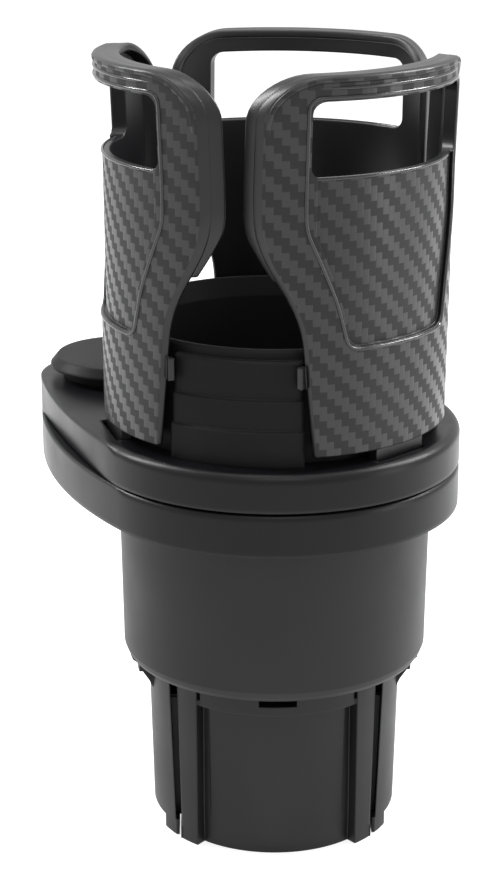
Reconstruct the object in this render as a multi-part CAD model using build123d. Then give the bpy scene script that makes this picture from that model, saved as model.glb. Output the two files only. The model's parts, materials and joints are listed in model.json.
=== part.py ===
# Cup holder expander: a plug with two sliding claws, a lower cup, and a holder that swings aside.
# Millimetres, +Z up, origin at the middle of the base's underside, the photographed side towards -Y.
import os
from math import atan2, cos, degrees, pi, radians, sin, sqrt

from build123d import *

# Clearances and fits
running_fit = 0.05
moving_gap = 0.4
slide_gap = 0.3
loose_gap = 0.2

# Base drum
drum_bottom_radius = 31.3
drum_panel_radius = 32.4
drum_inner_radius = 29.0
drum_height = 48.2
collar_radius = 34.2
collar_height = 5.3
collar_slit_width = 0.9
collar_slit_height = 3.7
floor_height = 3.4
rib_bottom_stand = 0.3
rib_top_stand = 0.5
rib_start_angle = 39.9
rib_end_angle = 52.6
opening_lean = 1.1
groove_start_angle = 35.6
groove_depth = 0.9
guide_wall = 2.4
guide_wall_start = 17.0
window_width = 10.4
window_drop = 2.7
window_height = 2.5
foot_margin = 2.2
foot_thickness = 1.2
guide_plate_thickness = 2.0
rail_height = 3.4
rail_width = 2.0
rail_start = 11.0
post_radius = 3.4
guide_screw_inset = 2.6

# Claws
claw_travel = 10.0
claw_bottom_radius = 34.6
claw_wall = 2.4
claw_taper = 0.9
claw_half_width = 20.3
claw_edge_place = 28.0
claw_edge_lean = 1.7
claw_bottom = 3.2
claw_foot_flat = 31.2
claw_foot_depth = 4.0
claw_rise = 1.8
claw_flare_drop = 7.9
claw_ramp_drop = 0.1
claw_slit_drop = 3.2
claw_flare_width = 4.1
claw_lip_width = 1.6
claw_tongue_half_width = 8.0
claw_tongue_thickness = 3.0
claw_tongue_start = 12.0
claw_web_place = 14.0
claw_web_thickness = 1.8
claw_web_length = 8.0
claw_middle_angle = 13.8
claw_slit_width = 0.9
pin_radius = 2.0
pin_place = 16.0

# Twist drive
twist_range = 150.0
scroll_thickness = 2.4
scroll_screw_inset = 3.0
bolt_radius = 4.0
bolt_head_radius = 7.5
bolt_head_height = 1.8
washer_radius = 9.0
washer_thickness = 1.0
washer_gap = 0.1
nut_flats = 13.0
nut_height = 4.5
bolt_tail = 1.0

# Lower cup
cup_floor_thickness = 2.4
cup_lip_inset = 7.6
cup_taper = 0.8
cup_wall = 2.3
cup_skirt_inset = 1.4
cup_skirt_wall = 2.6
cup_skirt_round = 2.0
mat_thickness = 2.0
rim_flange_inset = 3.0
rim_flange_thickness = 2.0
rim_screw_head_radius = 2.1
rim_screw_count = 4
rim_screw_cover = 0.8
seat_gap = 0.1

# Decks
deck_radius = 51.0
lobe_radius = 23.6
pivot_overhang = 12.0
pivot_azimuth = 134.3
lower_deck_bottom = 95.2
lower_deck_height = 11.8
lower_flank_radius = 150.0
upper_flank_radius = 200.0
upper_flank_foot_radius = 520.0
upper_deck_height = 10.25
deck_wall = 2.4
deck_rib = 1.6
rib_pair_angle = 10.0
lower_round_radius = 1.8
upper_round_radius = 2.6
round_fade_length = 7.0
round_start_angle = 3.0
boss_radius = 11.0
hub_ring_radius = 14.0
cover_thickness = 1.5
cover_post_radius = 3.2
cover_screw_azimuth = 60.0
screw_depth = 6.0
screw_spare = 2.0
deck_screw_radius = 1.25
screw_head_radius = 2.6
screw_head_height = 1.5
recessed_head_height = 1.0

# Pivot
pivot_bolt_radius = 5.0
pivot_head_radius = 9.0
pivot_head_height = 3.4
pivot_washer_radius = 10.0
pivot_nut_flats = 15.0
pivot_nut_height = 4.4
lower_boss_rise = 6.0
spacer_radius = 14.0
cap_inset = 3.0
cap_overhang = 3.6
cap_neck_height = 3.2
cap_height = 3.0
cap_slope = 2.0
cap_wall = 1.8

# Holder cup
holder_setback = 1.4
holder_wall = 2.7
holder_flare = 1.5
holder_height = 30.5
holder_lead = 5.5
holder_floor = 2.4
band_widths = [3.8, 3.0, 2.2]
band_rises = [9.7, 17.8, 27.7]
segment_half_angle = 24.2
segment_round = 1.6
band_chamfer = 0.5
holder_screw_offset = 1.3
holder_screw_turn = 19.0
holder_mat_thickness = 1.5

# Grip arms
arm_gap = 3.25
arm_height = 97.5
arm_setback = 4.1
arm_waist_lean = 0.3
arm_top_lean = 1.1
arm_waist_rise = 69.0
arm_bottom_wall = 2.0
arm_top_wall = 3.3
arm_bottom_half_angle = 32.94
arm_knee_half_angle = 35.9
arm_knee_rise = 28.5
arm_shoulder_half_angle = 50.52
arm_shoulder_rise = 62.5
arm_corner = 12.0
arm_edge_round = 0.8
window_side_width = 10.2
window_rise = 72.0
window_opening = 19.2
window_corner = 3.0
shield_slant_rise = 58.0
shield_bend_inset = 6.2
shield_bend_rise = 39.5
shield_foot_inset = 8.6
shield_rise = 28.4
shield_depth = 1.2
shield_corner = 4.0
tab_rise = 18.0
tab_height = 5.8
tab_reach = 1.2
tab_thickness = 1.6
tongue_half_width = 9.0
tongue_setback = 4.5
tongue_rise = 5.0
tongue_thickness = 3.0
hinge_setback = 3.0
hinge_depth = 5.5
hinge_pin_radius = 1.25
barrel_radius = 2.7
heel_rise = 2.4
lug_width = 2.6
arm_tilt = 8.0
spring_thickness = 0.5
spring_half_width = 4.0

# Heights and places that follow from the sizes above
collar_bottom = drum_height - collar_height
rib_bottom_radius = collar_radius + rib_bottom_stand
rib_top_radius = collar_radius + rib_top_stand
window_bottom = collar_bottom + window_drop
claw_top = drum_height + claw_rise
claw_flare_start = drum_height - claw_flare_drop
claw_flare_end = drum_height - claw_ramp_drop
claw_slit_bottom = drum_height - claw_slit_drop
claw_flare_radius = claw_bottom_radius + claw_taper + claw_flare_width
claw_lip_radius = claw_flare_radius + claw_lip_width
floor_flat = claw_foot_flat - claw_foot_depth - moving_gap
foot_radius = floor_flat - foot_margin
opening_half_width = rib_top_radius * cos(radians(rib_end_angle))
cup_lip_radius = deck_radius - cup_lip_inset
cup_foot_radius = cup_lip_radius - cup_taper
cup_skirt_radius = cup_foot_radius - cup_skirt_inset
scroll_radius = cup_skirt_radius - cup_skirt_wall - loose_gap
rim_flange_radius = deck_radius - rim_flange_inset
pivot_place = deck_radius + pivot_overhang
cap_radius = lobe_radius - cap_inset
cap_neck_radius = cap_radius - cap_overhang
arm_bottom_radius = deck_radius - arm_setback
arm_waist_radius = arm_bottom_radius + arm_waist_lean
arm_top_radius = arm_bottom_radius + arm_top_lean
arm_bottom_half_width = arm_bottom_radius * sin(radians(arm_bottom_half_angle))
arm_knee_half_width = arm_bottom_radius * sin(radians(arm_knee_half_angle))
arm_shoulder_half_width = arm_bottom_radius * sin(radians(arm_shoulder_half_angle))
window_half_width = arm_shoulder_half_width - window_side_width
tongue_inner = arm_bottom_radius - tongue_setback
hinge_place = arm_bottom_radius - hinge_setback
holder_radius = tongue_inner - holder_setback
holder_bore = holder_radius - holder_wall
holder_mouth = holder_bore + holder_flare
guide_plate_bottom = drum_height
guide_plate_top = guide_plate_bottom + guide_plate_thickness
scroll_bottom = guide_plate_top + moving_gap
scroll_top = scroll_bottom + scroll_thickness
cup_floor_top = scroll_top + cup_floor_thickness
lower_deck_top = lower_deck_bottom + lower_deck_height
upper_deck_bottom = lower_deck_top + moving_gap
upper_deck_top = upper_deck_bottom + upper_deck_height
arm_bottom = upper_deck_top + arm_gap
arm_top = arm_bottom + arm_height
hinge_height = upper_deck_top - hinge_depth
gap_azimuths = [pivot_azimuth + 120 * i for i in range(3)]
arm_azimuths = {
    "arm_back": pivot_azimuth - 60,
    "arm_left": pivot_azimuth + 60,
    "arm_right": pivot_azimuth + 180,
}


def polar(radius, azimuth):
    """Point at a radius and an azimuth in degrees."""
    return radius * cos(radians(azimuth)), radius * sin(radians(azimuth))


pivot_xy = polar(pivot_place, pivot_azimuth)


def disc(radius, low, high, at=(0, 0)):
    """Upright cylinder between two heights."""
    return Pos(at[0], at[1], (low + high) / 2) * Cylinder(radius, high - low)


def tube(outer, inner, low, high, at=(0, 0)):
    """Upright ring between two heights."""
    return disc(outer, low, high, at) - disc(inner, low, high, at)


def block(x_low, x_high, y_low, y_high, z_low, z_high):
    """Box between two corners."""
    centre = Pos((x_low + x_high) / 2, (y_low + y_high) / 2, (z_low + z_high) / 2)
    return centre * Box(x_high - x_low, y_high - y_low, z_high - z_low)


def hexagon(flats, low, high, at=(0, 0)):
    """Upright hexagonal prism."""
    return Pos(at[0], at[1], low) * extrude(RegularPolygon(flats / 2, 6, major_radius=False), high - low)


def turned(points):
    """Solid turned about the main axis from (radius, height) points."""
    return revolve(Plane.XZ * make_face(Polyline(*points, close=True)), Axis.Z)


def wedge(start, end, reach, low, high):
    """Sector of a disc between two azimuths, less than half a turn apart."""
    middle = (start + end) / 2
    far = reach / cos(radians((end - start) / 2))
    corners = [(0, 0), polar(far, start), polar(far, middle), polar(far, end)]
    return Pos(0, 0, low) * extrude(make_face(Polyline(*corners, close=True)), high - low)


def screw(radius, low, high, head_radius, head_height, at):
    """Screw that points up, with its head below."""
    return disc(radius, low, high, at) + disc(head_radius, low - head_height, low, at)


def as_group(solids, name):
    """Separate solids kept together under one name."""
    return Compound(label=name, children=solids)


def quarters(solid):
    """A solid and its mirror images in the three other quarters."""
    half = [solid, mirror(solid, Plane.YZ)]
    return half + [mirror(each, Plane.XZ) for each in half]


def drum_rib():
    """One full-height rib beside a claw opening, with the inner wall that guides the claw."""
    band = turned([
        (drum_inner_radius, 0),
        (rib_bottom_radius, 0),
        (rib_top_radius, drum_height),
        (drum_inner_radius, drum_height),
    ])
    rib = band & wedge(rib_start_angle - 90, rib_end_angle + 12 - 90, rib_top_radius, 0, drum_height)
    far = 2 * rib_top_radius
    rib -= block(0, far, -opening_half_width, 0, 0, drum_height)
    guide_end = sqrt(drum_inner_radius**2 - opening_half_width**2) + 1
    wall_low = -opening_half_width - guide_wall
    return rib + block(guide_wall_start, guide_end, wall_low, -opening_half_width, 0, drum_height)


def panel_groove():
    """Channel between a recessed panel and its rib, and the slit at the collar's end above it."""
    deep = drum_panel_radius - groove_depth
    sector = wedge(groove_start_angle - 90, rib_start_angle - 90, rib_top_radius, 0, collar_bottom)
    groove = tube(rib_top_radius, deep, 0, collar_bottom) & sector
    slit_end = rib_start_angle - degrees(collar_slit_width / collar_radius)
    slit_low = drum_height - collar_slit_height
    slit_sector = wedge(slit_end - 90, rib_start_angle - 90, rib_top_radius, slit_low, drum_height)
    return groove + (tube(rib_top_radius, deep, slit_low, drum_height) & slit_sector)


def guide_rail(low, high):
    """One rail beside a claw's tongue."""
    near = claw_tongue_half_width + slide_gap
    return block(rail_start, floor_flat, near, near + rail_width, low, high)


def base_drum():
    """Drum that plugs into the car's cup holder, open at the sides for the claws."""
    outer = turned([
        (0, 0),
        (drum_bottom_radius, 0),
        (drum_panel_radius, collar_bottom),
        (collar_radius, collar_bottom),
        (collar_radius, drum_height),
        (0, drum_height),
    ])
    drum = outer - disc(drum_inner_radius, floor_height, drum_height)
    for groove in quarters(panel_groove()):
        drum -= groove
    for rib in quarters(drum_rib()):
        drum += rib
    wide = opening_half_width + opening_lean
    corners = [(-wide, 0), (wide, 0), (opening_half_width, drum_height), (-opening_half_width, drum_height)]
    drum -= extrude(Plane.YZ * make_face(Polyline(*corners, close=True)), 2 * rib_top_radius, both=True)
    drum += block(-floor_flat, floor_flat, -wide, wide, 0, floor_height)
    drum -= disc(foot_radius, 0, foot_thickness)
    half_window = window_width / 2
    drum -= block(-half_window, half_window, -2 * collar_radius, 0, window_bottom, window_bottom + window_height)
    for rail in quarters(guide_rail(floor_height, floor_height + rail_height)):
        drum += rail
    for at in guide_screw_places():
        post = disc(post_radius, floor_height, drum_height, at)
        drum += post & disc(drum_inner_radius + 1, 0, drum_height)
        drum -= disc(deck_screw_radius, drum_height - screw_depth - screw_spare, drum_height, at)
    return drum


def guide_screw_places():
    """Four screws, two behind each panel."""
    return [polar(drum_inner_radius - guide_screw_inset, azimuth) for azimuth in (70, 110, 250, 290)]


def guide_plate():
    """Round plate that closes the drum, with a slot for each claw pin and rails below."""
    plate = disc(collar_radius, guide_plate_bottom, guide_plate_top)
    plate -= disc(bolt_radius + running_fit, guide_plate_bottom, guide_plate_top)
    half = pin_radius + slide_gap
    far = pin_place + claw_travel + half
    slot = block(pin_place - half, far, -half, half, guide_plate_bottom, guide_plate_top)
    plate -= slot
    plate -= mirror(slot, Plane.YZ)
    for rail in quarters(guide_rail(drum_height - rail_height, drum_height)):
        plate += rail
    for at in guide_screw_places():
        plate -= disc(deck_screw_radius + loose_gap, guide_plate_bottom, guide_plate_top, at)
        plate -= disc(screw_head_radius, guide_plate_top - screw_head_height, guide_plate_top, at)
    return plate


def guide_screws():
    """Countersunk screws of the guide plate."""
    solids = []
    seat = guide_plate_top - screw_head_height
    for at in guide_screw_places():
        head = disc(screw_head_radius - 0.1, seat, guide_plate_top, at)
        solids.append(head + disc(deck_screw_radius, drum_height - screw_depth, seat, at))
    return as_group(solids, "guide_screws")


def foot_pad():
    """Rubber disc set flush into the underside."""
    return disc(foot_radius, 0, foot_thickness)


def jaw_shell(outline):
    """Turned wall of even thickness inside (radius, height) points that rise."""
    inside = [(radius - claw_wall, height) for radius, height in reversed(outline)]
    return turned([*outline, *inside])


def claw_jaw():
    """Curved jaw: plain wings at the sides, and between two slits a middle that flares into a lip."""
    foot = claw_bottom_radius
    waist = foot + claw_taper
    wing_top = drum_height - loose_gap
    wings = jaw_shell([
        (foot - 0.6, claw_bottom),
        (foot, claw_bottom + 0.8),
        (waist, claw_flare_start),
        (waist, wing_top),
    ])
    slit_angle = claw_middle_angle + degrees(claw_slit_width / waist)
    wings -= wedge(-slit_angle, slit_angle, 2 * waist, claw_slit_bottom, claw_top)
    flare = jaw_shell([
        (waist, claw_flare_start),
        (waist + 1.0, claw_flare_start + 2.2),
        (claw_flare_radius - 0.8, claw_flare_end - 2.0),
        (claw_flare_radius, claw_flare_end),
        (claw_lip_radius, claw_top - 0.5),
        (claw_lip_radius - 0.5, claw_top),
    ])
    flare &= wedge(-claw_middle_angle, claw_middle_angle, 2 * waist, 0, claw_top)
    high_edge = claw_edge_place + claw_edge_lean
    far = 2 * waist
    side = Polyline((claw_edge_place, 0), (high_edge, claw_top), (far, claw_top), (far, 0), close=True)
    kept = extrude(Plane.XZ * make_face(side), claw_half_width, both=True)
    return (wings & kept) + flare


def claw(hand):
    """Sliding claw: the jaw with its foot, two tongues, two webs and the drive pin."""
    high = drum_height - loose_gap
    low = floor_height + moving_gap
    half = claw_tongue_half_width
    jaw_inside = claw_bottom_radius - claw_wall
    body = claw_jaw()
    foot_start = claw_foot_flat - claw_foot_depth
    foot = block(foot_start, claw_foot_flat, -claw_half_width, claw_half_width, loose_gap, low + 1)
    body += foot & disc(claw_bottom_radius, 0, drum_height)
    tongue = block(claw_tongue_start, claw_lip_radius, -half, half, high - claw_tongue_thickness, high)
    body += tongue & disc(claw_flare_radius - 0.5, 0, drum_height)
    body += block(claw_tongue_start, foot_start + 1, -half, half, low, low + claw_tongue_thickness)
    near = jaw_inside - claw_web_length
    for side in (-1, 1):
        web_low = side * claw_web_place - claw_web_thickness / 2
        web = block(near, claw_bottom_radius, web_low, web_low + claw_web_thickness, low, claw_flare_start)
        body += web & disc(claw_bottom_radius - 1.0, 0, drum_height)
    body += disc(pin_radius, high - 0.1, scroll_top - slide_gap, (pin_place, 0))
    return body if hand > 0 else Rot(0, 0, 180) * body


def scroll_slot():
    """Spiral slot that moves a pin outwards at a constant rate as the plate turns."""
    half = pin_radius + slide_gap
    rate = claw_travel / radians(twist_range)
    steps = 12

    def wall(offset):
        points = []
        for i in range(steps + 1):
            turn = radians(twist_range) * i / steps
            radius = pin_place + rate * turn
            slope = atan2(rate, radius)
            x, y = radius * cos(-turn), radius * sin(-turn)
            normal = -turn + slope
            points.append((x + offset * cos(normal), y + offset * sin(normal)))
        return points

    def end(turn, way):
        radius = pin_place + rate * turn
        heading = -turn + atan2(rate, radius) - way * pi / 2
        return radius * cos(-turn) + half * cos(heading), radius * sin(-turn) + half * sin(heading)

    outer, inner = wall(half), wall(-half)
    edge = Spline(*outer) + Spline(*inner)
    edge += ThreePointArc(outer[0], end(0, -1), inner[0])
    edge += ThreePointArc(outer[-1], end(radians(twist_range), 1), inner[-1])
    return Pos(0, 0, scroll_bottom) * extrude(make_face(edge), scroll_thickness)


def scroll_screw_places():
    """Three screws outside the spiral slots."""
    return [polar(scroll_radius - scroll_screw_inset, azimuth) for azimuth in (12, 90, 192)]


def scroll_plate():
    """Plate under the lower cup with a spiral slot for each claw."""
    plate = disc(scroll_radius, scroll_bottom, scroll_top)
    plate -= disc(bolt_radius, scroll_bottom, scroll_top)
    slot = scroll_slot()
    plate -= slot
    plate -= Rot(0, 0, 180) * slot
    for at in scroll_screw_places():
        plate -= disc(deck_screw_radius, scroll_bottom, scroll_top, at)
    return plate


def scroll_screws():
    """Screws that hold the scroll plate, heads inside the lower cup's floor recess."""
    solids = []
    seat = cup_floor_top - recessed_head_height
    for at in scroll_screw_places():
        head = disc(screw_head_radius, seat, cup_floor_top, at)
        solids.append(head + disc(deck_screw_radius, scroll_bottom, seat, at))
    return as_group(solids, "scroll_screws")


def turn_bolt():
    """Shoulder bolt on the main axis."""
    tail = guide_plate_bottom - washer_gap - washer_thickness - nut_height - bolt_tail
    shank = disc(bolt_radius, tail, cup_floor_top)
    return shank + disc(bolt_head_radius, cup_floor_top, cup_floor_top + bolt_head_height)


def turn_washer():
    top = guide_plate_bottom - washer_gap
    return tube(washer_radius, bolt_radius, top - washer_thickness, top)


def turn_nut():
    top = guide_plate_bottom - washer_gap - washer_thickness
    return hexagon(nut_flats, top - nut_height, top) - disc(bolt_radius, top - nut_height, top)


def flank_turns(flank, inset=0.0):
    """Centre of the arc that joins lobe and main circle, and where it leaves them, the lobe towards +X."""
    main, lobe, flank = deck_radius - inset, lobe_radius - inset, flank - inset
    along = ((flank - main)**2 - (flank - lobe)**2 + pivot_place**2) / (2 * pivot_place)
    across = sqrt((flank - main)**2 - along**2)
    main_turn = degrees(atan2(across, -along))
    lobe_turn = degrees(atan2(across, pivot_place - along))
    return along, across, main_turn, lobe_turn


def deck_face(flank, inset=0.0):
    """Teardrop outline of a deck: main circle, lobe circle and two gently bulging flanks."""
    along, across, main_turn, lobe_turn = flank_turns(flank, inset)
    main_x, main_y = polar(deck_radius - inset, main_turn)
    lobe_x, lobe_y = polar(lobe_radius - inset, lobe_turn)
    lobe_x += pivot_place
    bow = polar(flank - inset, (main_turn + lobe_turn) / 2)
    bow_x, bow_y = along + bow[0], bow[1] - across
    edge = ThreePointArc((main_x, main_y), (inset - deck_radius, 0), (main_x, -main_y))
    edge += ThreePointArc((main_x, -main_y), (bow_x, -bow_y), (lobe_x, -lobe_y))
    edge += ThreePointArc((lobe_x, -lobe_y), (pivot_place + lobe_radius - inset, 0), (lobe_x, lobe_y))
    edge += ThreePointArc((lobe_x, lobe_y), (bow_x, bow_y), (main_x, main_y))
    return Rot(0, 0, pivot_azimuth) * make_face(edge)


def deck_slab(flank, low, high, inset=0.0):
    """Teardrop slab, or the same slab set in from its edge."""
    return Pos(0, 0, low) * extrude(deck_face(flank, inset), high - low)


def rim_round(top, round_radius, flank):
    """Cutter that rounds the main circle's top edge and fades out along the flanks."""
    over = 1.0
    diagonal = round_radius * (1 - cos(pi / 4))

    def corner(scale):
        far = deck_radius + over
        low = (deck_radius, top - round_radius * scale)
        near = (deck_radius - round_radius * scale, top)
        edge = ThreePointArc(low, (deck_radius - diagonal * scale, top - diagonal * scale), near)
        edge += Polyline(near, (near[0], top + over), (far, top + over), (far, low[1]), low)
        return Plane.XZ * make_face(edge)

    free_turn = flank_turns(flank)[2] + round_start_angle
    start = pivot_azimuth + free_turn
    sweep = 360 - 2 * free_turn
    ring = Rot(0, 0, start) * revolve(corner(1.0), Axis.Z, revolution_arc=sweep)
    for side, azimuth in ((1, start), (-1, start + sweep)):
        full = Rot(0, 0, azimuth) * corner(1.0)
        step = Vector(*polar(side * round_fade_length, azimuth - 90), 0)
        faint = Pos(step) * (Rot(0, 0, azimuth) * corner(0.06))
        ring += loft([full, faint])
    return ring


def rim_screw_places():
    """Screws through the cup's flange, turned to miss the lobe's ribs."""
    step = 360 / rim_screw_count
    middle = (cup_lip_radius + rim_flange_radius) / 2
    return [polar(middle, pivot_azimuth + step * (i + 0.5)) for i in range(rim_screw_count)]


def cup_body():
    """Lower cup: tapered wall, rounded foot with a short skirt, and a flange near the rim."""
    inside_top = cup_lip_radius - cup_wall
    inside_bottom = cup_foot_radius - cup_wall
    flange_top = lower_deck_top - deck_wall
    flange_bottom = flange_top - rim_flange_thickness
    skirt_inner = cup_skirt_radius - cup_skirt_wall
    bend = cup_skirt_round
    cup = turned([
        (0, scroll_top),
        (skirt_inner, scroll_top),
        (skirt_inner, scroll_bottom),
        (cup_skirt_radius, scroll_bottom),
        (cup_foot_radius - 0.3 * bend, scroll_bottom + 0.6 * bend),
        (cup_foot_radius, scroll_bottom + 1.4 * bend),
        (cup_lip_radius, flange_bottom),
        (rim_flange_radius, flange_bottom),
        (rim_flange_radius, flange_top),
        (cup_lip_radius, flange_top),
        (cup_lip_radius, lower_deck_top),
        (inside_top + 0.8, lower_deck_top),
        (inside_top, lower_deck_top - 0.8),
        (inside_bottom, cup_floor_top + 2),
        (inside_bottom - 2, cup_floor_top),
        (0, cup_floor_top),
    ])
    cup -= disc(bolt_radius, scroll_top, cup_floor_top)
    for at in scroll_screw_places():
        cup -= disc(deck_screw_radius, scroll_top, cup_floor_top, at)
        cup -= disc(screw_head_radius, cup_floor_top - recessed_head_height, cup_floor_top, at)
    for at in rim_screw_places():
        cup -= disc(deck_screw_radius, flange_bottom, flange_top, at)
    return cup


def lower_deck():
    """Teardrop moulding round the lower cup, open underneath, with the pivot's boss and spokes."""
    low, high = lower_deck_bottom, lower_deck_top
    boss_low = low + lower_boss_rise
    hollow = deck_slab(lower_flank_radius, low, high - deck_wall, deck_wall)
    reach = 2 * lobe_radius
    for i in range(8):
        spoke = block(boss_radius - 1, reach, -deck_rib / 2, deck_rib / 2, low + 1, high)
        spoke = Pos(*pivot_xy, 0) * Rot(0, 0, pivot_azimuth + 45 * i) * spoke
        hollow -= spoke - disc(rim_flange_radius + loose_gap, low, high)
    hollow -= disc(boss_radius, boss_low, high, pivot_xy)
    deck = deck_slab(lower_flank_radius, low, high) - hollow
    deck -= rim_round(high, lower_round_radius, lower_flank_radius)
    deck -= disc(cup_lip_radius + seat_gap, low, high)
    deck -= disc(pivot_bolt_radius + running_fit, boss_low, high, pivot_xy)
    for at in rim_screw_places():
        deck -= disc(deck_screw_radius, high - deck_wall, high - rim_screw_cover, at)
    return deck


def rim_screws():
    """Screws that join the cup's flange to the lower deck, heads below."""
    solids = []
    seat = lower_deck_top - deck_wall - rim_flange_thickness
    end = lower_deck_top - rim_screw_cover
    for at in rim_screw_places():
        solids.append(screw(deck_screw_radius, seat, end, rim_screw_head_radius, screw_head_height, at))
    return as_group(solids, "rim_screws")


def cup_mat():
    """Rubber mat on the lower cup's floor, round the bolt head."""
    radius = cup_foot_radius - cup_wall - 2.4
    return tube(radius, bolt_head_radius + 0.3, cup_floor_top, cup_floor_top + mat_thickness)


def deck_spacer():
    """Thin slip ring between the decks at the pivot."""
    return tube(spacer_radius, pivot_bolt_radius + 0.3, lower_deck_top, upper_deck_bottom, pivot_xy)


def pivot_bolt():
    """Bolt that the holder swings on."""
    low = lower_deck_bottom + lower_boss_rise - washer_gap - washer_thickness - pivot_nut_height
    shank = disc(pivot_bolt_radius, low, upper_deck_top, pivot_xy)
    head_top = upper_deck_top + pivot_head_height
    return shank + hexagon(2 * pivot_head_radius - 2, upper_deck_top, head_top, pivot_xy)


def pivot_washer():
    top = lower_deck_bottom + lower_boss_rise - washer_gap
    return tube(pivot_washer_radius, pivot_bolt_radius, top - washer_thickness, top, pivot_xy)


def pivot_nut():
    top = lower_deck_bottom + lower_boss_rise - washer_gap - washer_thickness
    nut = hexagon(pivot_nut_flats, top - pivot_nut_height, top, pivot_xy)
    return nut - disc(pivot_bolt_radius, top - pivot_nut_height, top, pivot_xy)


def pivot_cap():
    """Round cap over the pivot bolt: a narrow neck and a wide chamfered disc."""
    neck_top = upper_deck_top + cap_neck_height
    top = neck_top + cap_height
    profile = Polyline(
        (0, neck_top + cap_height - cap_wall),
        (cap_neck_radius - cap_wall, neck_top + cap_height - cap_wall),
        (cap_neck_radius - cap_wall, upper_deck_top),
        (cap_neck_radius, upper_deck_top),
        (cap_neck_radius, neck_top),
        (cap_radius, neck_top),
        (cap_radius, neck_top + 0.6),
        (cap_radius - cap_slope, top),
        (0, top),
        close=True,
    )
    return Pos(*pivot_xy, 0) * revolve(Plane.XZ * make_face(profile), Axis.Z)


def arm_pocket(azimuth):
    """Slot in the upper deck's top for a grip arm's tongue."""
    low = tongue_inner - 0.5
    high = tongue_inner + tongue_thickness + hinge_depth * sin(radians(arm_tilt)) + 0.6
    half = tongue_half_width + moving_gap
    slot = block(low, high, -half, half, upper_deck_top - deck_wall, upper_deck_top)
    return Rot(0, 0, azimuth) * slot


def hinge_lugs(azimuth):
    """Two ears under the deck's top that hold an arm's hinge pin."""
    top = upper_deck_top - deck_wall
    inner = tongue_half_width + moving_gap
    near, far = hinge_place - barrel_radius, hinge_place + barrel_radius
    ears = []
    for side in (-1, 1):
        low, high = sorted((side * inner, side * (inner + lug_width)))
        ear = block(near, far, low, high, hinge_height - barrel_radius, top)
        hole = Pos(hinge_place, (low + high) / 2, hinge_height) * Rot(90, 0, 0)
        ear -= hole * Cylinder(hinge_pin_radius, 2 * lug_width)
        ears.append(Rot(0, 0, azimuth) * ear)
    return ears


def cover_screw_places():
    """Four screws under the deck, clear of the arms."""
    middle = (hub_ring_radius + holder_bore) / 2
    return [polar(middle, pivot_azimuth + cover_screw_azimuth + 90 * i) for i in range(4)]


def upper_deck():
    """Teardrop moulding that carries the holder cup and the grip arms."""
    low, high = upper_deck_bottom, upper_deck_top
    inner_top = high - deck_wall
    inner = deck_slab(upper_flank_foot_radius, low, inner_top, deck_wall)
    inner -= disc(boss_radius, low, inner_top, pivot_xy)
    inner -= tube(hub_ring_radius, hub_ring_radius - deck_rib, low + cover_thickness, inner_top)
    far = pivot_place + lobe_radius
    rib = block(hub_ring_radius - 1, far, -deck_rib / 2, deck_rib / 2, low + cover_thickness, inner_top)
    for azimuth in gap_azimuths:
        for side in (-1, 1):
            inner -= Rot(0, 0, azimuth + rib_pair_angle * side) * rib
    for at in cover_screw_places():
        inner -= disc(cover_post_radius, low + cover_thickness, inner_top, at)
    foot = Pos(0, 0, low) * deck_face(upper_flank_foot_radius)
    deck = loft([foot, Pos(0, 0, high) * deck_face(upper_flank_radius)]) - inner
    deck -= rim_round(high, upper_round_radius, upper_flank_radius)
    deck -= disc(pivot_bolt_radius, low, high, pivot_xy)
    for azimuth in arm_azimuths.values():
        deck -= arm_pocket(azimuth)
        for ear in hinge_lugs(azimuth):
            deck += ear
    for at in cover_screw_places():
        deck -= disc(deck_screw_radius, low + cover_thickness, inner_top, at)
    for at in holder_screw_places():
        deck -= disc(deck_screw_radius, inner_top, high, at)
    return deck


def deck_cover():
    """Plate that closes the upper deck from below, flush with its edge."""
    low, high = upper_deck_bottom, upper_deck_bottom + cover_thickness
    cover = deck_slab(upper_flank_foot_radius, low, high, deck_wall + loose_gap)
    cover -= disc(boss_radius + loose_gap, low, high, pivot_xy)
    for at in cover_screw_places():
        cover -= disc(deck_screw_radius, low, high, at)
        cover -= disc(screw_head_radius, low, low + recessed_head_height, at)
    return cover


def cover_screws():
    """Screws of the deck cover, heads flush below."""
    solids = []
    seat = upper_deck_bottom + recessed_head_height
    for at in cover_screw_places():
        head = disc(screw_head_radius, upper_deck_bottom, seat, at)
        solids.append(head + disc(deck_screw_radius, seat, upper_deck_top - deck_wall, at))
    return as_group(solids, "cover_screws")


def holder_screw_places():
    """A screw near the end of each banded segment, clear of the pivot cap."""
    place = holder_radius + holder_screw_offset
    return [polar(place, azimuth + holder_screw_turn) for azimuth in gap_azimuths]


def holder_screws():
    """Screws that hold the holder cup from under the deck's top."""
    solids = []
    seat = upper_deck_top - deck_wall
    end = upper_deck_top + screw_depth
    for at in holder_screw_places():
        solids.append(screw(deck_screw_radius, seat, end, screw_head_radius, screw_head_height, at))
    return as_group(solids, "holder_screws")


def banded_segment():
    """Wall segment between two arms: stacked bands with rounded ends, the lowest one the proudest."""
    base = upper_deck_top
    segment = None
    low = base
    for width, rise in zip(band_widths, band_rises):
        radius = holder_radius + width
        high = base + rise
        sector = wedge(-segment_half_angle, segment_half_angle, 2 * radius, low, high)
        band = disc(radius, low, high) & sector
        ends = band.edges().filter_by(Axis.Z).filter_by(lambda e: e.center().X > holder_radius / 2)
        band = fillet(ends, segment_round)
        rim = band.edges().filter_by(lambda e: e.center().Z > high - 0.01)
        rim = rim.filter_by(lambda e: e.center().X > holder_radius - 4)
        band = chamfer(rim, band_chamfer)
        segment = band if segment is None else segment + band
        low = high
    return segment


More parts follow.
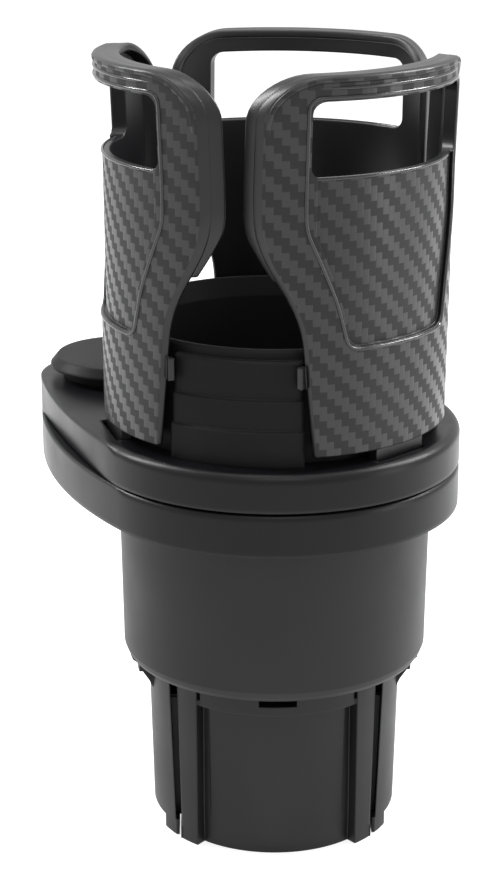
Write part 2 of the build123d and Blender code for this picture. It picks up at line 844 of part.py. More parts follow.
def holder_cup():
    """Round wall with a lead-in mouth, its floor, and three banded segments between the arms."""
    base = upper_deck_top
    top = base + holder_height
    wall = turned([
        (0, base),
        (holder_radius, base),
        (holder_radius, top - 0.8),
        (holder_radius - 0.5, top),
        (holder_mouth + 0.2, top),
        (holder_mouth, top - 0.3),
        (holder_bore, top - holder_lead),
        (holder_bore, base + holder_floor + 1.5),
        (holder_bore - 1.5, base + holder_floor),
        (0, base + holder_floor),
    ])
    segment = banded_segment() - disc(holder_radius - 1, base, top)
    for azimuth in gap_azimuths:
        wall += Rot(0, 0, azimuth) * segment
    for at in holder_screw_places():
        wall -= disc(deck_screw_radius, base, base + screw_depth, at)
    cap_top = base + cap_neck_height + cap_height
    return wall - disc(cap_radius + moving_gap, base, cap_top + moving_gap, pivot_xy)


def holder_mat():
    """Rubber mat on the holder cup's floor."""
    low = upper_deck_top + holder_floor
    return disc(holder_bore - 1.8, low, low + holder_mat_thickness)


def arm_outline():
    """Front view of a grip arm: narrow foot, swelling shoulders, rounded top corners."""
    foot = (arm_bottom_half_width, arm_bottom)
    knee = (arm_knee_half_width, arm_bottom + arm_knee_rise)
    shoulder = (arm_shoulder_half_width, arm_bottom + arm_shoulder_rise)
    bend_x, bend_z = polar(arm_corner, 45)
    below = (shoulder[0], arm_top - arm_corner)
    beside = (shoulder[0] - arm_corner, arm_top)
    bend = (beside[0] + bend_x, below[1] + bend_z)
    edge = Line((-foot[0], foot[1]), foot) + Line((-beside[0], arm_top), beside)
    for side in (-1, 1):
        def hand(point):
            return side * point[0], point[1]
        slope = (side * (knee[0] - foot[0]), knee[1] - foot[1])
        edge += Line(hand(foot), hand(knee))
        edge += Spline(hand(knee), hand(shoulder), tangents=[slope, (0, 1)])
        edge += Line(hand(shoulder), hand(below))
        edge += ThreePointArc(hand(below), hand(bend), hand(beside))
    return make_face(edge)


def cone_shell(outer, inner):
    """Round shell whose radii are (height, radius) lists from bottom to top."""
    points = [(radius, height) for height, radius in outer]
    points += [(radius, height) for height, radius in reversed(inner)]
    return turned(points)


def pulled(face):
    """Front-view outline drawn out along the direction in which an arm faces."""
    near, far = arm_bottom_radius / 4, 2 * arm_bottom_radius
    return Pos(near, 0, 0) * extrude(Plane.YZ * face, far - near)


def arm_window():
    """Opening below the arm's top bar."""
    low = arm_bottom + window_rise
    face = Pos(0, low + window_opening / 2) * Rectangle(2 * window_half_width, window_opening)
    face = fillet(face.vertices(), window_corner)
    return pulled(face)


def arm_shield():
    """Sunken shield-shaped panel under the window."""
    top = arm_bottom + window_rise + window_opening / 2
    half = window_half_width
    points = [
        (-half, top),
        (-half, arm_bottom + shield_slant_rise),
        (shield_bend_inset - half, arm_bottom + shield_bend_rise),
        (shield_foot_inset - half, arm_bottom + shield_rise),
    ]
    points += [(-y, z) for y, z in reversed(points)]
    face = make_face(Polyline(*points, close=True))
    foot = face.vertices().sort_by(Axis.Y)[:2]
    face = fillet(foot, shield_corner)
    sunk = [
        (arm_bottom, arm_bottom_radius - shield_depth),
        (arm_bottom + arm_waist_rise, arm_waist_radius - shield_depth),
        (arm_top, arm_top_radius - shield_depth),
    ]
    core = cone_shell(sunk, [(arm_bottom, 0), (arm_top, 0)])
    return pulled(face) - core


def arm_hinge():
    """Tongue, barrel and spring heel at an arm's foot."""
    half = tongue_half_width
    tongue = block(tongue_inner, tongue_inner + tongue_thickness, -half, half, hinge_height, arm_bottom + tongue_rise)
    barrel = Pos(hinge_place, 0, hinge_height) * Rot(90, 0, 0) * Cylinder(barrel_radius, 2 * half)
    heel_end = hinge_place + barrel_radius
    heel = block(hinge_place, heel_end, -half, half, hinge_height, hinge_height + heel_rise)
    bore = Cylinder(hinge_pin_radius + running_fit, 2 * half)
    return tongue + barrel + heel - Pos(hinge_place, 0, hinge_height) * Rot(90, 0, 0) * bore


def grip_arm():
    """Grip arm facing +X: tapered wall, window, sunken shield, rimmed inside, side tabs and hinge."""
    waist = arm_bottom + arm_waist_rise
    outer = [(arm_bottom, arm_bottom_radius), (waist, arm_waist_radius), (arm_top, arm_top_radius)]
    inner = [
        (arm_bottom, arm_bottom_radius - arm_bottom_wall),
        (waist, arm_waist_radius - arm_top_wall),
        (arm_top, arm_top_radius - arm_top_wall),
    ]
    wall = cone_shell(outer, inner) & pulled(arm_outline())
    wall = fillet(wall.edges().filter_by(lambda e: e.center().Z > arm_top - 0.01), arm_edge_round)
    wall -= arm_window()
    wall -= arm_shield()
    tab_low = arm_bottom + tab_rise
    tab_x = sqrt((arm_bottom_radius - arm_bottom_wall)**2 - arm_knee_half_width**2) - 0.3
    for side in (-1, 1):
        low, high = sorted((side * (arm_knee_half_width - 1), side * (arm_knee_half_width + tab_reach)))
        wall += block(tab_x, tab_x + tab_thickness, low, high, tab_low, tab_low + tab_height)
    return wall + arm_hinge()


def hinge_pin(azimuth):
    """Steel pin through an arm's barrel and its two ears."""
    length = 2 * (tongue_half_width + moving_gap + lug_width)
    pin = Pos(hinge_place, 0, hinge_height) * Rot(90, 0, 0) * Cylinder(hinge_pin_radius, length)
    return Rot(0, 0, azimuth) * pin


def leaf_spring(azimuth):
    """Bent steel leaf that pushes an arm's heel inwards."""
    near = hinge_place + barrel_radius + moving_gap
    far = deck_radius - deck_wall - loose_gap
    top = upper_deck_top - deck_wall
    half = spring_half_width
    leaf = block(near, near + spring_thickness, -half, half, hinge_height - barrel_radius, top)
    leaf += block(near, sqrt(far**2 - half**2), -half, half, top - spring_thickness, top)
    return Rot(0, 0, azimuth) * leaf


def build():
    """All nodes by name."""
    nodes = {
        "base_drum": base_drum(),
        "guide_plate": guide_plate(),
        "guide_screws": guide_screws(),
        "foot_pad": foot_pad(),
        "claw_right": claw(1),
        "claw_left": claw(-1),
        "cup_body": cup_body(),
        "lower_deck": lower_deck(),
        "rim_screws": rim_screws(),
        "scroll_plate": scroll_plate(),
        "scroll_screws": scroll_screws(),
        "turn_bolt": turn_bolt(),
        "turn_washer": turn_washer(),
        "turn_nut": turn_nut(),
        "cup_mat": cup_mat(),
        "deck_spacer": deck_spacer(),
        "upper_deck": upper_deck(),
        "deck_cover": deck_cover(),
        "cover_screws": cover_screws(),
        "holder_cup": holder_cup(),
        "holder_screws": holder_screws(),
        "holder_mat": holder_mat(),
        "pivot_cap": pivot_cap(),
        "pivot_bolt": pivot_bolt(),
        "pivot_washer": pivot_washer(),
        "pivot_nut": pivot_nut(),
    }
    arm = grip_arm()
    for name, azimuth in arm_azimuths.items():
        nodes[name] = Rot(0, 0, azimuth) * arm
        nodes[name.replace("arm", "hinge_pin")] = hinge_pin(azimuth)
        nodes[name.replace("arm", "spring")] = leaf_spring(azimuth)
    return nodes


os.makedirs("parts", exist_ok=True)
for node_name, shape in build().items():
    export_step(shape, f"parts/{node_name}.step")
    print(node_name, len(shape.solids()), round(shape.volume / 1000, 2))
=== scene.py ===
import bpy
import json
from math import atan2, comb, cos, degrees, dist, pi, radians, sin, sqrt
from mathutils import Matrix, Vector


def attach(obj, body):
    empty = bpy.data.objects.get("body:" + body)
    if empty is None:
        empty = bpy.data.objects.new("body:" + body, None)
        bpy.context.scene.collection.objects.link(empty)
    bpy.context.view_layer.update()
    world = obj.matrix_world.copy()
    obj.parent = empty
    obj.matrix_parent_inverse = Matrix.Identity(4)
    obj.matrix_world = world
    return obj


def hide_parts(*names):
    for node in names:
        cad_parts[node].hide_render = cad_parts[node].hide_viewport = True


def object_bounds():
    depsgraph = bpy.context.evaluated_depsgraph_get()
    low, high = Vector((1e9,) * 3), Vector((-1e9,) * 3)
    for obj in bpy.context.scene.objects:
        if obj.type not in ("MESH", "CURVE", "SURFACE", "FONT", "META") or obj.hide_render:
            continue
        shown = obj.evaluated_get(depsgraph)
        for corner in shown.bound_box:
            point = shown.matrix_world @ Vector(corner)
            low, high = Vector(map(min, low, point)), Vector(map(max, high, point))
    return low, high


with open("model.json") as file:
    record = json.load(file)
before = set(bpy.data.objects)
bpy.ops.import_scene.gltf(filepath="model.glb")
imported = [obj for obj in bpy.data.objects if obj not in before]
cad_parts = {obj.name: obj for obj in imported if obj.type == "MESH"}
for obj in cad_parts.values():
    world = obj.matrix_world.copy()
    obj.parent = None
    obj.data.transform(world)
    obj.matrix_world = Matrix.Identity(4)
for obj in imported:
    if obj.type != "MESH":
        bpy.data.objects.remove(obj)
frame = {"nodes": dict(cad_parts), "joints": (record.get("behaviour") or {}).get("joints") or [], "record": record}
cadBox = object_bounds()
nodes = frame["nodes"]
mm = 0.001


# a value that is a socket is linked, any other value is set
def fillIn(tree, node, values):
    for name, value in values.items():
        if isinstance(value, bpy.types.NodeSocket):
            tree.links.new(value, node.inputs[name])
        else:
            node.inputs[name].default_value = value


def addNode(tree, kind, inputs=None, **settings):
    node = tree.nodes.new("ShaderNode" + kind)
    for name, value in settings.items():
        setattr(node, name, value)
    fillIn(tree, node, inputs or {})
    return node


def calc(tree, operation, first, second=None, third=None):
    parts = {i: value for i, value in enumerate((first, second, third)) if value is not None}
    return addNode(tree, "Math", parts, operation=operation).outputs[0]


def dot(tree, first, second):
    return addNode(tree, "VectorMath", {0: first, 1: second}, operation="DOT_PRODUCT").outputs["Value"]


# a Mix node has sockets for every kind of value: 2 and 3 are its numbers, 6 and 7 its colors
def mixNumber(tree, share, first, second):
    return addNode(tree, "Mix", {0: share, 2: first, 3: second}).outputs[0]


def mixColor(tree, share, first, second):
    return addNode(tree, "Mix", {0: share, 6: first, 7: second}, data_type="RGBA").outputs[2]


def newGroup(name, inputs, outputs):
    tree = bpy.data.node_groups.new(name, "ShaderNodeTree")
    for label, kind in inputs.items():
        tree.interface.new_socket(label, in_out="INPUT", socket_type="NodeSocket" + kind)
    for label, kind in outputs.items():
        tree.interface.new_socket(label, in_out="OUTPUT", socket_type="NodeSocket" + kind)
    return tree, tree.nodes.new("NodeGroupInput").outputs, tree.nodes.new("NodeGroupOutput")


def useGroup(tree, group, inputs):
    return addNode(tree, "Group", inputs, node_tree=group).outputs


def newMaterial(name):
    material = bpy.data.materials.new(name)
    material.use_nodes = True
    tree = material.node_tree
    return material, tree, tree.nodes["Principled BSDF"]


edgeLook = {"samples": 8, "flat": 0.995, "sharp": 0.80}


# rounds sharp edges for the light, and says where they are
def edgeGroup():
    tree, given, made = newGroup("roundedEdge", {"Radius": "Float"}, {"Normal": "Vector", "Edge": "Float"})
    bevel = addNode(tree, "Bevel", {"Radius": given["Radius"]}, samples=edgeLook["samples"])
    rounded = bevel.outputs["Normal"]
    match = dot(tree, rounded, addNode(tree, "NewGeometry").outputs["Normal"])
    edge = addNode(tree, "MapRange", {
        "Value": match, "From Min": edgeLook["flat"], "From Max": edgeLook["sharp"],
    }).outputs["Result"]
    fillIn(tree, made, {"Normal": rounded, "Edge": edge})
    return tree


grainLook = {
    "height": 0.06 * mm, "detail": 3.0, "roughness": 0.6,
    "cloudScale": 45.0, "cloudDetail": 4.0, "cloudRoughness": 0.55,
}


# fine spark-eroded grain of a moulding, and slow clouds for its changes in gloss
def grainGroup():
    tree, given, made = newGroup(
        "mouldGrain",
        {"Scale": "Float", "Depth": "Float", "Normal": "Vector"},
        {"Normal": "Vector", "Cloud": "Float"},
    )
    place = addNode(tree, "TexCoord").outputs["Object"]
    fine = addNode(tree, "TexNoise", {
        "Vector": place, "Scale": given["Scale"],
        "Detail": grainLook["detail"], "Roughness": grainLook["roughness"],
    }).outputs["Fac"]
    cloud = addNode(tree, "TexNoise", {
        "Vector": place, "Scale": grainLook["cloudScale"],
        "Detail": grainLook["cloudDetail"], "Roughness": grainLook["cloudRoughness"],
    }).outputs["Fac"]
    bump = addNode(tree, "Bump", {
        "Strength": given["Depth"], "Distance": grainLook["height"],
        "Height": fine, "Normal": given["Normal"],
    }).outputs["Normal"]
    fillIn(tree, made, {"Normal": bump, "Cloud": cloud})
    return tree


twillLook = {
    "repeat": 4.0, "onTop": 1.5,   # the first two tows of each four lie on top
    "crown": 4.0, "weftHeight": 0.6, "height": 0.1 * mm, "facing": 0.85,
}


# two-over-two twill wrapped round the main axis, on faces that look outwards above a height
def twillGroup():
    tree, given, made = newGroup(
        "twill",
        {"Around": "Float", "Rise": "Float", "Start": "Float", "Depth": "Float", "Normal": "Vector"},
        {"Warp": "Float", "Outside": "Float", "Normal": "Vector"},
    )
    coords = addNode(tree, "TexCoord").outputs
    split = addNode(tree, "SeparateXYZ", {0: coords["Object"]}).outputs
    turn = calc(tree, "DIVIDE", calc(tree, "ARCTAN2", split["Y"], split["X"]), 2 * pi)
    across = calc(tree, "MULTIPLY", turn, given["Around"])
    upward = calc(tree, "DIVIDE", split["Z"], given["Rise"])
    step = calc(tree, "ADD", calc(tree, "FLOOR", across), calc(tree, "FLOOR", upward))
    phase = calc(tree, "FLOORED_MODULO", step, twillLook["repeat"])
    # where the warp tows lie on top, which the material paints with a lighter sheen
    warp = calc(tree, "LESS_THAN", phase, twillLook["onTop"])

    # a tow's height over its own width, 0 at its sides and 1 in the middle
    def hump(position):
        centred = calc(tree, "MULTIPLY_ADD", calc(tree, "FRACT", position), 2.0, -1.0)
        fall = calc(tree, "POWER", calc(tree, "ABSOLUTE", centred), twillLook["crown"])
        return calc(tree, "SUBTRACT", 1.0, fall)

    weftHeight = calc(tree, "MULTIPLY", hump(upward), twillLook["weftHeight"])
    height = mixNumber(tree, warp, weftHeight, hump(across))
    radial = addNode(tree, "CombineXYZ", {"X": split["X"], "Y": split["Y"]}).outputs[0]
    radial = addNode(tree, "VectorMath", {0: radial}, operation="NORMALIZE").outputs["Vector"]
    facing = calc(tree, "GREATER_THAN", dot(tree, radial, coords["Normal"]), twillLook["facing"])
    outside = calc(tree, "MULTIPLY", facing, calc(tree, "GREATER_THAN", split["Z"], given["Start"]))
    bump = addNode(tree, "Bump", {
        "Strength": calc(tree, "MULTIPLY", given["Depth"], outside), "Distance": twillLook["height"],
        "Height": height, "Normal": given["Normal"],
    }).outputs["Normal"]
    fillIn(tree, made, {"Warp": warp, "Outside": outside, "Normal": bump})
    return tree


roundedEdge, mouldGrain, twill = edgeGroup(), grainGroup(), twillGroup()
mouldScale = 2500.0
cloudSpan = (0.3, 0.7)   # nearly all of the clouds' values


def cloudyRough(tree, cloud, rough):
    return addNode(tree, "MapRange", {
        "Value": cloud, "From Min": cloudSpan[0], "From Max": cloudSpan[1],
        "To Min": rough[0], "To Max": rough[1],
    }).outputs["Result"]


mouldings = {
    "satinBlack": {
        "color": (0.009, 0.009, 0.010, 1), "worn": (0.036, 0.036, 0.037, 1),
        "rough": (0.42, 0.51), "shine": 0.30, "edge": 0.6 * mm,
    },
    # decks: a darker copy of the black plastic, painted shade that damps the light on their up-facing tops
    "deckBlack": {
        "color": (0.004, 0.004, 0.005, 1), "worn": (0.034, 0.034, 0.035, 1),
        "rough": (0.30, 0.39), "shine": 0.22, "edge": 1.6 * mm,
    },
    # holder: a paler copy of the black plastic, painted light on its shaded inside; its much paler edges are
    # painted glints on the bands
    "holderBlack": {
        "color": (0.018, 0.018, 0.019, 1), "worn": (0.075, 0.075, 0.077, 1),
        "rough": (0.44, 0.53), "shine": 0.08, "edge": 0.6 * mm,
    },
    # cap: a darker copy of the black plastic, painted shade on its up-facing top; its much paler edges are a
    # painted highlight on its rim
    "capBlack": {
        "color": (0.006, 0.006, 0.007, 1), "worn": (0.060, 0.060, 0.062, 1),
        "rough": (0.42, 0.51), "shine": 0.12, "edge": 1.0 * mm,
    },
    # trim beads: a paler copy of the black plastic, a painted highlight along the beads on top of their real gloss
    "trimBlack": {
        "color": (0.016, 0.016, 0.017, 1), "worn": (0.040, 0.040, 0.041, 1),
        "rough": (0.12, 0.21), "shine": 0.60, "edge": 0.2 * mm,
    },
}
mouldDepth = 0.2


# black plastic, paler along its edges: partly wear, partly a painted highlight for the glints its edges catch
def mouldedPlastic(name, look):
    material, tree, surface = newMaterial(name)
    edge = useGroup(tree, roundedEdge, {"Radius": look["edge"]})
    grain = useGroup(tree, mouldGrain, {"Scale": mouldScale, "Depth": mouldDepth, "Normal": edge["Normal"]})
    # painted highlight and wear: the edge mask, broken up by the clouds, pales the colour along edges
    worn = calc(tree, "MULTIPLY", edge["Edge"], grain["Cloud"])
    fillIn(tree, surface, {
        "Base Color": mixColor(tree, worn, look["color"], look["worn"]),
        "Roughness": cloudyRough(tree, grain["Cloud"], look["rough"]),
        "Specular IOR Level": look["shine"],
        "Normal": grain["Normal"],
    })
    return material


woven = {
    # the warp colour is a painted sheen: tows on top are painted lighter for the light they catch; weft and plain
    # are the plastic's own black
    "warp": (0.034, 0.034, 0.035, 1), "weft": (0.003, 0.003, 0.004, 1), "plain": (0.004, 0.004, 0.005, 1),
    "warpRough": 0.30, "weftRough": 0.60, "plainRough": 0.36, "cloud": 0.12, "shine": 0.45,
    "edge": 0.6 * mm, "grain": 0.15, "depth": 0.25,
    "start": 120.5 * mm, "rise": 1.92 * mm,
    "around": 148.0,   # a multiple of four, so that the twill meets itself
}


def wovenPlastic(name):
    material, tree, surface = newMaterial(name)
    edge = useGroup(tree, roundedEdge, {"Radius": woven["edge"]})
    weave = useGroup(tree, twill, {
        "Around": woven["around"], "Rise": woven["rise"], "Start": woven["start"], "Depth": woven["depth"],
        "Normal": edge["Normal"],
    })
    grain = useGroup(tree, mouldGrain, {
        "Scale": mouldScale, "Depth": woven["grain"], "Normal": weave["Normal"],
    })
    # painted sheen: warp tows lighter than the weft
    tows = mixColor(tree, weave["Warp"], woven["weft"], woven["warp"])
    rough = mixNumber(tree, weave["Warp"], woven["weftRough"], woven["warpRough"])
    rough = mixNumber(tree, weave["Outside"], woven["plainRough"], rough)
    cloud = calc(tree, "MULTIPLY_ADD", grain["Cloud"], woven["cloud"], -woven["cloud"] / 2)
    fillIn(tree, surface, {
        "Base Color": mixColor(tree, weave["Outside"], woven["plain"], tows),
        "Roughness": calc(tree, "ADD", rough, cloud),
        "Specular IOR Level": woven["shine"],
        "Normal": grain["Normal"],
    })
    return material


evenLooks = {
    "softRubber": {
        "color": (0.012, 0.012, 0.012, 1), "metal": 0.0, "shine": 0.3, "rough": (0.68, 0.82),
        "edge": 0.5 * mm, "grain": 1400.0, "depth": 0.6,
    },
    "zincSteel": {
        "color": (0.56, 0.56, 0.57, 1), "metal": 1.0, "shine": 0.5, "rough": (0.25, 0.45),
        "edge": 0.2 * mm, "grain": 900.0, "depth": 0.1,
    },
}


# rubber and metal, of one color all over
def evenFinish(name, look):
    material, tree, surface = newMaterial(name)
    edge = useGroup(tree, roundedEdge, {"Radius": look["edge"]})
    grain = useGroup(tree, mouldGrain, {
        "Scale": look["grain"], "Depth": look["depth"], "Normal": edge["Normal"],
    })
    fillIn(tree, surface, {
        "Base Color": look["color"],
        "Metallic": look["metal"],
        "Specular IOR Level": look["shine"],
        "Roughness": cloudyRough(tree, grain["Cloud"], look["rough"]),
        "Normal": grain["Normal"],
    })
    return material


finishes = {name: mouldedPlastic(name, look) for name, look in mouldings.items()}
finishes["wovenBlack"] = wovenPlastic("wovenBlack")
finishes.update({name: evenFinish(name, look) for name, look in evenLooks.items()})
slotFinishes = {
    "black_plastic": "satinBlack", "woven_plastic": "wovenBlack",
    "rubber": "softRubber", "steel": "zincSteel",
}
ownFinishes = {
    "upper_deck": "deckBlack", "lower_deck": "deckBlack",
    "pivot_cap": "capBlack", "holder_cup": "holderBlack",
}
for part in frame["record"]["subparts"]:
    finish = ownFinishes.get(part["node"], slotFinishes[part["material_slot"]])
    for materialSlot in nodes[part["node"]].material_slots:
        materialSlot.material = finishes[finish]
print("materials")


# each arm faces outwards, square to the hinge that it tilts about
armAzimuths = {}
for joint in frame["joints"]:
    if joint["child"].startswith("arm_"):
        armAzimuths[joint["child"]] = degrees(atan2(-joint["axis"][0], joint["axis"][1]))
armTop = cadBox[1][2]
armProfile = [(120.9 * mm, 46.9 * mm), (189.9 * mm, 47.2 * mm), (armTop, 48.0 * mm)]   # height, outer radius
armOutline = {
    "curve": [(27.5, 149.4), (28.3, 161.1), (36.2, 171.7), (36.2, 183.4)],   # mm, knee to shoulder
    "corner": 12.0 * mm,
    "curveSteps": 20, "sideSteps": 12, "cornerSteps": 12, "topSteps": 16,
}


def between(first, second, share):
    return first + (second - first) * share


# the point at a share of the way along a smooth curve, whose inner points only pull it
def curvePoint(points, share):
    last = len(points) - 1
    weights = [comb(last, i) * (1 - share) ** (last - i) * share ** i for i in range(last + 1)]
    return tuple(sum(weight * point[axis] for weight, point in zip(weights, points)) for axis in (0, 1))


def armRadius(z):
    for (lowZ, lowRadius), (highZ, highRadius) in zip(armProfile, armProfile[1:]):
        if z <= highZ:
            return between(lowRadius, highRadius, (z - lowZ) / (highZ - lowZ))
    return armProfile[-1][1]


def turnedTo(azimuth, x, y, z):
    turn = radians(azimuth)
    return x * cos(turn) - y * sin(turn), x * sin(turn) + y * cos(turn), z


# a point on the arm's outer face, from its place across the arm and its height
def armPoint(azimuth, y, z, lift):
    return turnedTo(azimuth, sqrt((armRadius(z) + lift) ** 2 - y * y), y, z)


# one side of the arm's outline, from a height up and round to the middle of its top, moved in by an inset
def armEdge(start, inset):
    curveSteps, sideSteps = armOutline["curveSteps"], armOutline["sideSteps"]
    cornerSteps, topSteps = armOutline["cornerSteps"], armOutline["topSteps"]
    curve = [curvePoint(armOutline["curve"], i / curveSteps) for i in range(curveSteps + 1)]
    path = [(y * mm - inset, z * mm) for y, z in curve if z * mm >= start]
    side, shoulder = (value * mm for value in armOutline["curve"][-1])
    low, bend = max(start, shoulder), armTop - armOutline["corner"]
    path += [(side - inset, between(low, bend, i / sideSteps)) for i in range(1, sideSteps + 1)]
    middle, radius = side - armOutline["corner"], armOutline["corner"] - inset
    for i in range(1, cornerSteps + 1):
        turn = radians(90 * i / cornerSteps)
        path.append((middle + radius * cos(turn), bend + radius * sin(turn)))
    path += [(middle * (1 - i / topSteps), armTop - inset) for i in range(1, topSteps + 1)]
    return path


def bothSides(path):
    return path + [(-y, z) for y, z in reversed(path[:-1])]


def finishPiece(piece, armName, finish):
    piece.data.materials.append(finishes[finish])
    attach(piece, armName)


windowCut = {
    "half": 27.5 * mm, "low": 192.9 * mm, "high": 212.1 * mm, "near": 20 * mm, "far": 60 * mm,
    "corner": 3.0 * mm, "cornerSteps": 5,
}


# a block through the arm's wall, with its four long edges rounded
def windowCutter(azimuth):
    near, far, low, high = (windowCut[name] for name in ("near", "far", "low", "high"))
    bpy.ops.object.select_all(action="DESELECT")
    bpy.ops.mesh.primitive_cube_add(size=1)
    cutter = bpy.context.object
    bpy.ops.object.mode_set(mode="EDIT")
    bpy.ops.transform.resize(value=(far - near, 2 * windowCut["half"], high - low), center_override=(0, 0, 0))
    bpy.ops.transform.translate(value=((far + near) / 2, 0, (high + low) / 2))
    bpy.ops.mesh.select_all(action="DESELECT")
    bpy.ops.object.mode_set(mode="OBJECT")
    for edge in cutter.data.edges:
        first, second = (cutter.data.vertices[i].co for i in edge.vertices)
        edge.select = abs(first.x - second.x) > near
    bpy.ops.object.mode_set(mode="EDIT")
    bpy.ops.mesh.select_mode(type="EDGE")
    bpy.ops.mesh.bevel(offset=windowCut["corner"], segments=windowCut["cornerSteps"])
    bpy.ops.mesh.select_all(action="SELECT")
    # with no window this turns the other way round
    bpy.ops.transform.rotate(value=-radians(azimuth), orient_axis="Z", center_override=(0, 0, 0))
    bpy.ops.object.mode_set(mode="OBJECT")
    return cutter


shellLook = {"merge": 0.002 * mm, "smooth": 25}


# the arm's moulding, with its window opened out to the bead round it
def armShell(armName, azimuth):
    cutter = windowCutter(azimuth)
    shell = bpy.data.objects.new(armName + "_shell", nodes[armName].data.copy())
    bpy.context.scene.collection.objects.link(shell)
    bpy.ops.object.select_all(action="DESELECT")
    shell.select_set(True)
    bpy.context.view_layer.objects.active = shell
    bpy.ops.object.mode_set(mode="EDIT")
    bpy.ops.mesh.select_all(action="SELECT")
    bpy.ops.mesh.remove_doubles(threshold=shellLook["merge"])
    bpy.ops.object.mode_set(mode="OBJECT")
    bpy.ops.mesh.customdata_custom_splitnormals_clear()   # they belong to the loose triangles
    cut = shell.modifiers.new("Window", "BOOLEAN")
    cut.object = cutter
    cut.solver = "EXACT"
    bpy.ops.object.modifier_apply(modifier="Window")
    bpy.data.objects.remove(cutter)
    bpy.ops.object.shade_smooth_by_angle(angle=radians(shellLook["smooth"]))
    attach(shell, armName)
    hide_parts(armName)


# a strip between two lines of points, thickened to one side, with its edges rounded
def thickStrip(name, front, back, look):
    last = len(front) - 1
    bpy.ops.object.select_all(action="DESELECT")
    bpy.ops.mesh.primitive_grid_add(x_subdivisions=last, y_subdivisions=1, size=2)
    piece = bpy.context.object
    piece.name = name
    for vertex in piece.data.vertices:
        column = round((vertex.co.x + 1) / 2 * last)
        vertex.co = (back if vertex.co.y > 0 else front)[column]
    wall = piece.modifiers.new("Thickness", "SOLIDIFY")
    wall.thickness = look["thickness"]
    wall.offset = 1
    wall.use_even_offset = True
    bpy.ops.object.modifier_apply(modifier="Thickness")
    edges = piece.modifiers.new("Rounding", "BEVEL")
    edges.width = look["rounding"]
    edges.segments = look["roundingSteps"]
    edges.angle_limit = radians(look["sharp"])
    bpy.ops.object.modifier_apply(modifier="Rounding")
    bpy.ops.object.shade_smooth_by_angle(angle=radians(look["smooth"]))
    return piece


armRim = {
    "thickness": 2.2 * mm, "inset": 0.06 * mm, "buried": 1.0 * mm,
    "start": 165 * mm, "hidden": 4.6 * mm,   # how deep it reaches where it starts
    "full": 178 * mm, "depth": 7.0 * mm,   # and from here up
    "rounding": 0.5 * mm, "roundingSteps": 3, "sharp": 50, "smooth": 35,
}


def turnedInRim(armName, azimuth):
    front, back = [], []
    for y, z in bothSides(armEdge(armRim["start"], armRim["inset"])):
        grown = min(1.0, max(0.0, (z - armRim["start"]) / (armRim["full"] - armRim["start"])))
        x = sqrt(armRadius(z) ** 2 - y * y)
        front.append(turnedTo(azimuth, x - armRim["buried"], y, z))
        back.append(turnedTo(azimuth, x - between(armRim["hidden"], armRim["depth"], grown), y, z))
    finishPiece(thickStrip(armName + "_rim", front, back, armRim), armName, "wovenBlack")


tubeRounding = 3


# a round bead along points, with each open end thinned over a number of them
def tubeAlong(name, points, thickness, closed, taper):
    bpy.ops.object.select_all(action="DESELECT")
    bpy.ops.curve.primitive_bezier_curve_add()
    curve = bpy.context.object
    curve.data.splines.clear()
    spline = curve.data.splines.new("POLY")
    spline.points.add(len(points) - 1)
    for i, (target, point) in enumerate(zip(spline.points, points)):
        target.co = (*point, 1)
        if taper:
            target.radius = min(1.0, (min(i, len(points) - 1 - i) + 0.5) / taper)
    spline.use_cyclic_u = closed
    curve.data.bevel_depth = thickness
    curve.data.bevel_resolution = tubeRounding
    curve.data.use_fill_caps = not closed
    bpy.ops.object.convert(target="MESH")
    piece = bpy.context.object
    piece.name = name
    bpy.ops.object.shade_smooth()
    return piece


def subdivided(path, step, closed):
    points = []
    for first, second in zip(path, path[1:] + path[:1] if closed else path[1:]):
        count = max(1, int(dist(first, second) / step))
        for i in range(count):
            points.append(tuple(between(a, b, i / count) for a, b in zip(first, second)))
    return points if closed else points + [path[-1]]


# each corner of a closed path becomes a short round
def roundedPath(corners, reach, steps):
    path = []
    for i, corner in enumerate(corners):
        ends = []
        for beside in (corners[i - 1], corners[(i + 1) % len(corners)]):
            share = reach / dist(corner, beside)
            ends.append(tuple(between(a, b, share) for a, b in zip(corner, beside)))
        path += [curvePoint((ends[0], corner, ends[1]), k / steps) for k in range(steps + 1)]
    return path


beadStep = 1.5 * mm
topLip = {
    "start": 200 * mm, "inset": 1.05 * mm, "thickness": 0.95 * mm, "lift": -0.5 * mm, "taper": 12,
    "finish": "wovenBlack",
}
barBead = {
    "half": 27.0 * mm, "height": 215.3 * mm, "thickness": 0.5 * mm, "lift": -0.1 * mm, "taper": 5,
    "finish": "trimBlack",
}
frameBead = {
    "corners": [(28.2, 213.0), (28.2, 180.2), (21.0, 161.0), (18.0, 148.6)],   # mm, down one side
    "reach": 3.2 * mm, "cornerSteps": 4, "thickness": 0.55 * mm, "lift": -0.12 * mm,
    "finish": "trimBlack",
}
sillBead = {
    "half": 26.0 * mm, "height": 192.75 * mm, "thickness": 0.45 * mm, "lift": -1.25 * mm,
    "finish": "trimBlack",
}


def levelPath(look):
    return subdivided([(-look["half"], look["height"]), (look["half"], look["height"])], beadStep, False)


def framePath():
    corners = [(y * mm, z * mm) for y, z in frameBead["corners"]]
    corners += [(-y, z) for y, z in reversed(corners)]
    return subdivided(roundedPath(corners, frameBead["reach"], frameBead["cornerSteps"]), beadStep, True)


def armTrim(armName, azimuth):
    lipPath = bothSides(armEdge(topLip["start"], topLip["inset"]))
    for ending, path, look, closed in (
        ("_top_lip", lipPath, topLip, False),
        ("_bar_bead", levelPath(barBead), barBead, False),
        ("_frame_bead", framePath(), frameBead, True),
        ("_sill_bead", levelPath(sillBead), sillBead, False),
    ):
        points = [armPoint(azimuth, y, z, look["lift"]) for y, z in path]
        bead = tubeAlong(armName + ending, points, look["thickness"], closed, look.get("taper", 0))
        finishPiece(bead, armName, look["finish"])


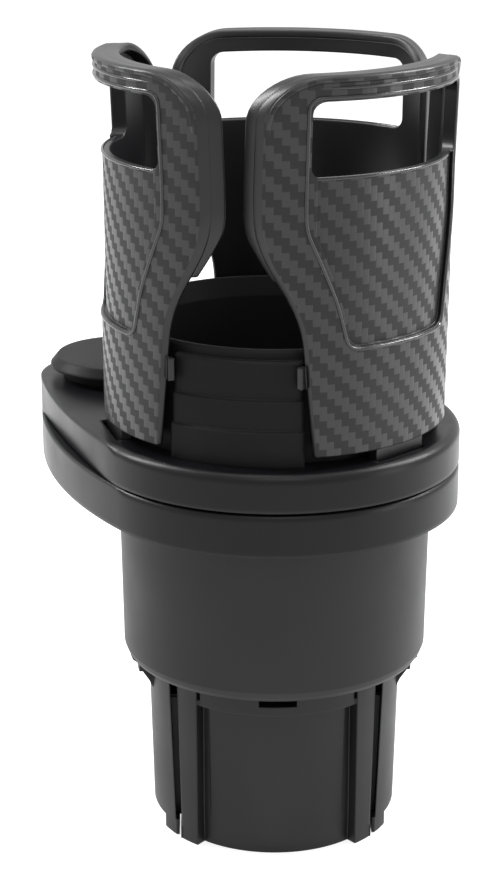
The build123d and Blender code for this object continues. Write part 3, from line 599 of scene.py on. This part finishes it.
for armName, armAzimuth in armAzimuths.items():
    armShell(armName, armAzimuth)
    turnedInRim(armName, armAzimuth)
    armTrim(armName, armAzimuth)
print("arm mouldings, rims and beads")


# 1 where the camera sees it, directly, in a gloss or through something clear
def seen(tree):
    path = addNode(tree, "LightPath").outputs
    direct = calc(tree, "MAXIMUM", path["Is Camera Ray"], path["Is Glossy Ray"])
    return calc(tree, "MAXIMUM", direct, path["Is Transmission Ray"])


floorLook = {
    "size": 12.0, "drop": 0.1 * mm, "color": (0.60, 0.60, 0.60, 1), "rough": 0.9, "shine": 0.1,
    "light": (1, 1, 1, 1), "glow": 0.80,
}
bpy.ops.object.select_all(action="DESELECT")
bpy.ops.mesh.primitive_plane_add(size=floorLook["size"], location=(0, 0, -floorLook["drop"]))
floor = bpy.context.object
floor.name = "studioFloor"
paper, paperTree, paperSurface = newMaterial("paper")
fillIn(paperTree, paperSurface, {
    "Base Color": floorLook["color"],
    "Roughness": floorLook["rough"],
    "Specular IOR Level": floorLook["shine"],
    "Emission Color": floorLook["light"],
    "Emission Strength": calc(paperTree, "MULTIPLY", seen(paperTree), floorLook["glow"]),
})
floor.data.materials.append(paper)

worldLook = {"plain": (0.30, 0.30, 0.30, 1), "seen": (1, 1, 1, 1)}
world = bpy.data.worlds.new("studio")
bpy.context.scene.world = world
world.use_nodes = True
sky = world.node_tree
shade = mixColor(sky, seen(sky), worldLook["plain"], worldLook["seen"])
fillIn(sky, sky.nodes["Background"], {"Color": shade})

softBoxes = {
    "leftBox": {"place": (-0.72, 0.24, 0.76), "size": (0.10, 0.5), "power": 8.0},
    "rightBox": {"place": (0.72, 0.24, 0.76), "size": (0.10, 0.5), "power": 9.0},
    "frontRightBox": {"place": (0.95, -0.30, 0.22), "size": (0.3, 0.6), "power": 2.2},
    "frontTopBox": {"place": (0.05, -0.60, 1.00), "size": (0.5, 0.3), "power": 1.4},
    "topBox": {"place": (0.0, 0.04, 1.15), "size": (0.6, 0.25), "power": 3.0},
}
lampTarget = 110 * mm   # up the part's middle
for lampName, lampLook in softBoxes.items():
    bpy.ops.object.select_all(action="DESELECT")
    bpy.ops.object.light_add(type="AREA", location=lampLook["place"])
    lamp = bpy.context.object
    lamp.name = lampName
    lamp.data.shape = "RECTANGLE"
    lamp.data.size, lamp.data.size_y = lampLook["size"]
    lamp.data.energy = lampLook["power"]
    aim = -lamp.location
    aim.z += lampTarget
    lamp.rotation_euler = aim.to_track_quat("-Z", "Y").to_euler()

cameraLook = {
    "place": (-0.018710, -0.574904, 0.296386), "pitch": 17.832, "turn": -1.2, "shift": -0.0008,
    "lens": 89.48, "sensor": 36, "near": 10 * mm,
}
bpy.ops.object.select_all(action="DESELECT")
cameraAim = (radians(90 - cameraLook["pitch"]), 0, radians(cameraLook["turn"]))
bpy.ops.object.camera_add(location=cameraLook["place"], rotation=cameraAim)
camera = bpy.context.object
camera.data.lens = cameraLook["lens"]
camera.data.sensor_width = cameraLook["sensor"]
camera.data.shift_x = cameraLook["shift"]
camera.data.clip_start = cameraLook["near"]
bpy.context.scene.camera = camera
bpy.context.scene.view_settings.view_transform = "Standard"
print("stage")
